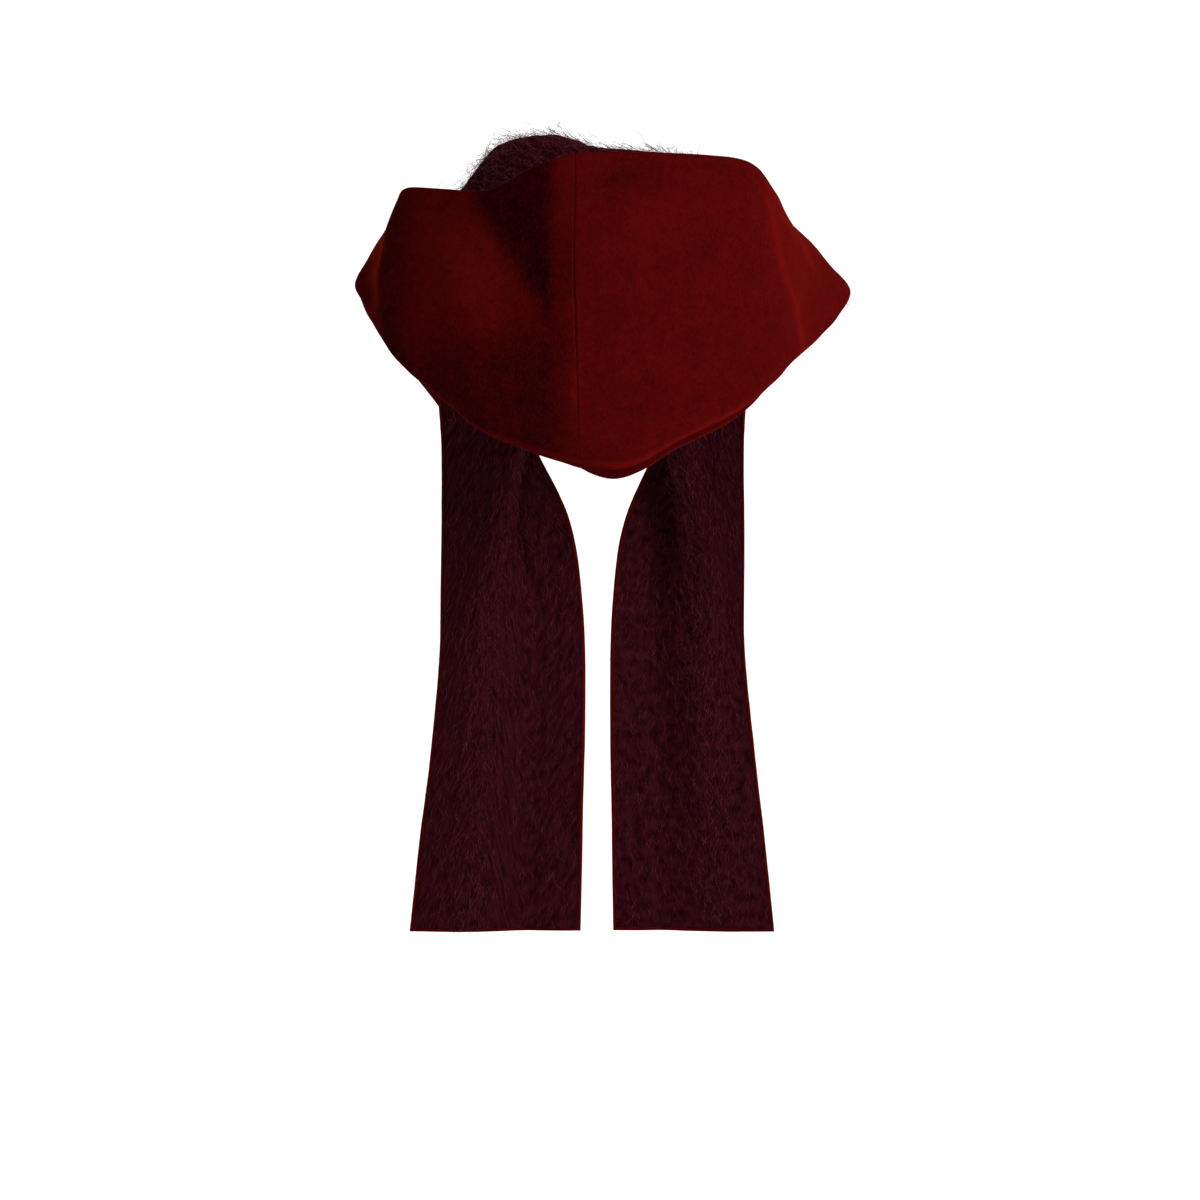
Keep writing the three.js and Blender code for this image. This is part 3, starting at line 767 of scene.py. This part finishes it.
# %% Sow the hairs
def sown(name, ground, per_metre, shortest, longest, stray, seed):
    """Hairs on one lining piece, as a plain mesh."""
    holder = bpy.data.objects.new(name + "_holder", ground.data.copy())
    bpy.context.scene.collection.objects.link(holder)
    growth = holder.modifiers.new("sow", "NODES")
    growth.node_group = sow
    chosen = {
        "Hairs per square metre": per_metre, "Shortest": shortest / 1000, "Longest": longest / 1000,
        "Stray": stray, "Seed": seed, "Material": mohair_hair,
    }
    for label, value in chosen.items():
        growth[SOW_INPUTS[label]] = value
    evaluated = holder.evaluated_get(bpy.context.evaluated_depsgraph_get())
    mesh = bpy.data.meshes.new_from_object(evaluated)
    mesh.name = name
    bpy.data.objects.remove(holder)
    for extra in [a.name for a in mesh.attributes if a.name in ("hairs", "combed", "cloth", "nap_and_painted_light")]:
        mesh.attributes.remove(mesh.attributes[extra])
    piece = bpy.data.objects.new(name, mesh)
    bpy.context.scene.collection.objects.link(piece)
    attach(piece, "root")
    print(f"{name}: {len(mesh.polygons) // 12} hairs, {len(mesh.polygons)} faces")
    return piece


neck_ground, *end_grounds = lining_pieces
hair_pieces = {
    neck_ground: [
        sown("hood_lining_hairs", neck_ground, 85000, 6, 15, 0.6, 31),
        sown("hood_lining_stray_hairs", neck_ground, 62000, 12, 24, 1.2, 32),
    ],
    end_grounds[0]: [sown("scarf_lining_left_hairs", end_grounds[0], 170000, 6, 15, 0.5, 33)],
    end_grounds[1]: [sown("scarf_lining_right_hairs", end_grounds[1], 170000, 6, 15, 0.5, 34)],
}
for shape in list(hair_shapes.objects):
    bpy.data.objects.remove(shape)
bpy.data.collections.remove(hair_shapes)
bpy.data.node_groups.remove(sow)

# %% [markdown]

# %% [markdown]
# ## Floor and light
#
# A plain pale floor curves up into the backdrop. A large soft light from the upper right models the
# velvet, and the bright surroundings give its edges their glow.

# %% Floor
FLOOR_LEVEL = -0.78


def flat_material(name, hex_code, rough):
    material = bpy.data.materials.new(name)
    material.use_nodes = True
    inputs = material.node_tree.nodes["Principled BSDF"].inputs
    inputs["Base Color"].default_value = colour(hex_code)
    inputs["Roughness"].default_value = rough
    return material


COVE_RADIUS, COVE_BEND, WALL_TOP, COVE_SIDES = 2.6, 0.7, 3.4, 72
profile = [(0.0, 0.0)] + [
    (COVE_RADIUS + COVE_BEND * math.sin(a), COVE_BEND * (1 - math.cos(a)))
    for a in np.linspace(0, math.pi / 2, 12)
] + [(COVE_RADIUS + COVE_BEND, WALL_TOP)]
turns = np.linspace(0, math.tau, COVE_SIDES, endpoint=False)
cove_points = [(r * math.cos(t), r * math.sin(t), FLOOR_LEVEL + z) for t in turns for r, z in profile]
rings = len(profile)
cove_faces = [
    (i * rings + j, (i + 1) % COVE_SIDES * rings + j, (i + 1) % COVE_SIDES * rings + j + 1, i * rings + j + 1)
    for i in range(COVE_SIDES) for j in range(rings - 1)
]
floor_mesh = bpy.data.meshes.new("floor")
floor_mesh.from_pydata(cove_points, [], cove_faces)
floor_mesh.shade_smooth()
floor_mesh.materials.append(flat_material("matt_paper_white", "#f4f4f4", 0.9))
floor = bpy.data.objects.new("floor", floor_mesh)
bpy.context.scene.collection.objects.link(floor)


# %% Lights
def soft_light(name, place, aim, size, watts):
    light = bpy.data.lights.new(name, "AREA")
    light.size = size
    light.energy = watts
    holder = bpy.data.objects.new(name, light)
    holder.location = place
    holder.rotation_euler = (Vector(aim) - Vector(place)).to_track_quat("-Z", "Y").to_euler()
    bpy.context.scene.collection.objects.link(holder)


soft_light("key", (-1.9, 1.6, 0.8), (0, 0, -0.1), 1.0, 100)
soft_light("fill", (1.2, 2.2, 0.6), (0, 0, -0.1), 1.4, 8)
soft_light("backdrop", (0, -0.7, 1.7), (0, -2.4, -0.2), 2.2, 30)
soft_light("front", (0.3, -2.1, 1.1), (0, 0, -0.2), 1.2, 26)

world = bpy.data.worlds.new("white_studio")
bpy.context.scene.world = world
world.use_nodes = True
world.node_tree.nodes["Background"].inputs[0].default_value = (1, 1, 1, 1)
world.node_tree.nodes["Background"].inputs[1].default_value = 0.22
bpy.context.scene.view_settings.view_transform = "Standard"
